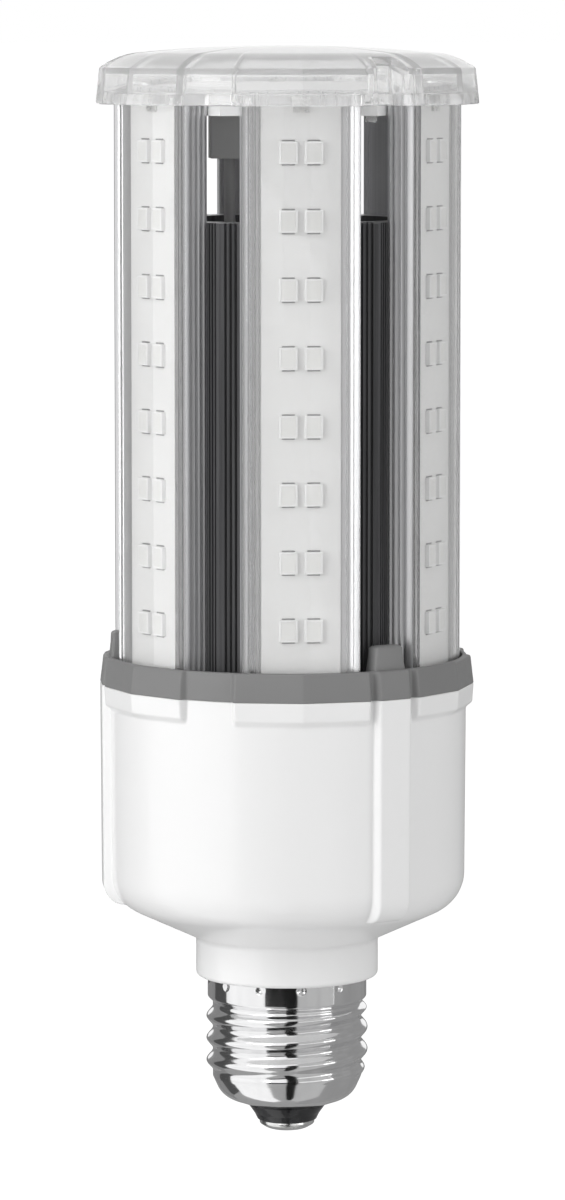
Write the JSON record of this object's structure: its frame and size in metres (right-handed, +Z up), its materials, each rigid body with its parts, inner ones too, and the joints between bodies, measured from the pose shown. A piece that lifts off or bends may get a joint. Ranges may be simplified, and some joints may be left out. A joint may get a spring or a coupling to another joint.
{
  "type": "led retrofit bulb",
  "caption": "Upright LED retrofit lamp: screw base, white driver housing, grey collar, LED boards behind clear covers round a finned core, clear domed cap.",
  "frame": {"origin": "tip of the centre contact, on the lamp's axis", "axes": "+Z up the lamp's axis from the screw base to the cap; one LED segment faces -Y"},
  "size_m": [0.0608, 0.0616, 0.1756],
  "materials": {
    "nickel_shell": "polished nickel plate",
    "contact_metal": "tinned brass",
    "insulator": "black glass",
    "housing": "gloss white moulding",
    "collar": "satin grey moulding",
    "core": "dark anodised extrusion",
    "channel": "bare extruded aluminium",
    "led_board": "white solder mask",
    "led_chip": "white frame with a pale phosphor window",
    "clear_cover": "clear polycarbonate",
    "clear_cap": "clear polycarbonate",
    "junction_board": "white solder mask",
    "connector": "moulded nylon",
    "tinned_copper": "tinned copper",
    "driver_board": "green solder mask",
    "capacitor_sleeve": "dark sleeve",
    "ferrite": "ferrite",
    "winding_tape": "tape over wire",
    "copper_wire": "enamelled copper",
    "film_box": "moulded box",
    "black_epoxy": "moulded epoxy",
    "fuse_body": "ceramic with metal ends",
    "varistor_coat": "epoxy coat",
    "wire_black": "wire insulation",
    "wire_white": "wire insulation",
    "screw_steel": "zinc-plated steel"
  },
  "bodies": {
    "root": {"screw_shell": "nickel_shell", "centre_contact": "contact_metal", "base_insulator": "insulator", "driver_housing": "housing", "collar_ring": "collar", "heat_sink_core": "core", "top_cap": "clear_cap", "junction_board": "junction_board", "junction_connector": "connector", "board_jumpers": "tinned_copper", "output_leads": "wire_black", "live_lead": "wire_black", "neutral_lead": "wire_white", "driver_board": "driver_board", "input_capacitor": "capacitor_sleeve", "output_capacitor": "capacitor_sleeve", "transformer_core": "ferrite", "transformer_winding": "winding_tape", "choke_core": "ferrite", "choke_winding": "copper_wire", "film_capacitor": "film_box", "bridge_rectifier": "black_epoxy", "switching_transistor": "black_epoxy", "fuse": "fuse_body", "varistor": "varistor_coat", "driver_screws": "screw_steel", "collar_screws": "screw_steel", "segment_channel_1": "channel", "led_board_1": "led_board", "led_chips_1": "led_chip", "segment_cover_1": "clear_cover", "segment_channel_2": "channel", "led_board_2": "led_board", "led_chips_2": "led_chip", "segment_cover_2": "clear_cover", "segment_channel_3": "channel", "led_board_3": "led_board", "led_chips_3": "led_chip", "segment_cover_3": "clear_cover", "segment_channel_4": "channel", "led_board_4": "led_board", "led_chips_4": "led_chip", "segment_cover_4": "clear_cover", "segment_channel_5": "channel", "led_board_5": "led_board", "led_chips_5": "led_chip", "segment_cover_5": "clear_cover", "segment_channel_6": "channel", "led_board_6": "led_board", "led_chips_6": "led_chip", "segment_cover_6": "clear_cover"}
  },
  "joints": []
}
